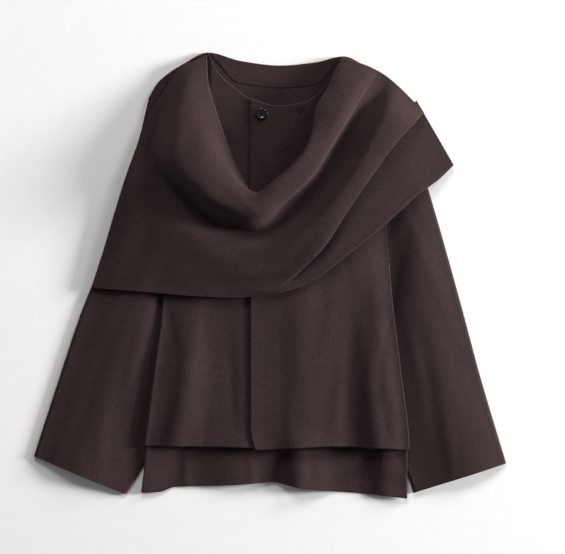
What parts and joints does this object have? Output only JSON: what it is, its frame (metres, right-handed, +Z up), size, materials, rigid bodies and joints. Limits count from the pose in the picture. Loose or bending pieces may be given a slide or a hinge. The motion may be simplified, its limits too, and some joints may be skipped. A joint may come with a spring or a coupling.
{
  "type": "poncho jacket with draped scarf",
  "caption": "Short wide jacket in felted wool, laid flat, with open cuffs and a raw-edged scarf draped across the chest from shoulder to shoulder.",
  "frame": {"origin": "middle of the whole garment's outline as it lies, on the surface under it", "axes": "+Y from the hem to the neck, +X to the wearer's left sleeve, +Z up from the surface"},
  "size_m": [0.732, 0.69, 0.0664],
  "materials": {
    "wool": "dark brown felted wool with a short nap",
    "button": "polished, nearly black"
  },
  "bodies": {
    "root": {"back_panel": "wool", "back_neck_facing": "wool", "right_front": "wool", "left_front": "wool", "right_sleeve": "wool", "left_sleeve": "wool", "scarf": "wool", "button": "button"}
  },
  "joints": []
}
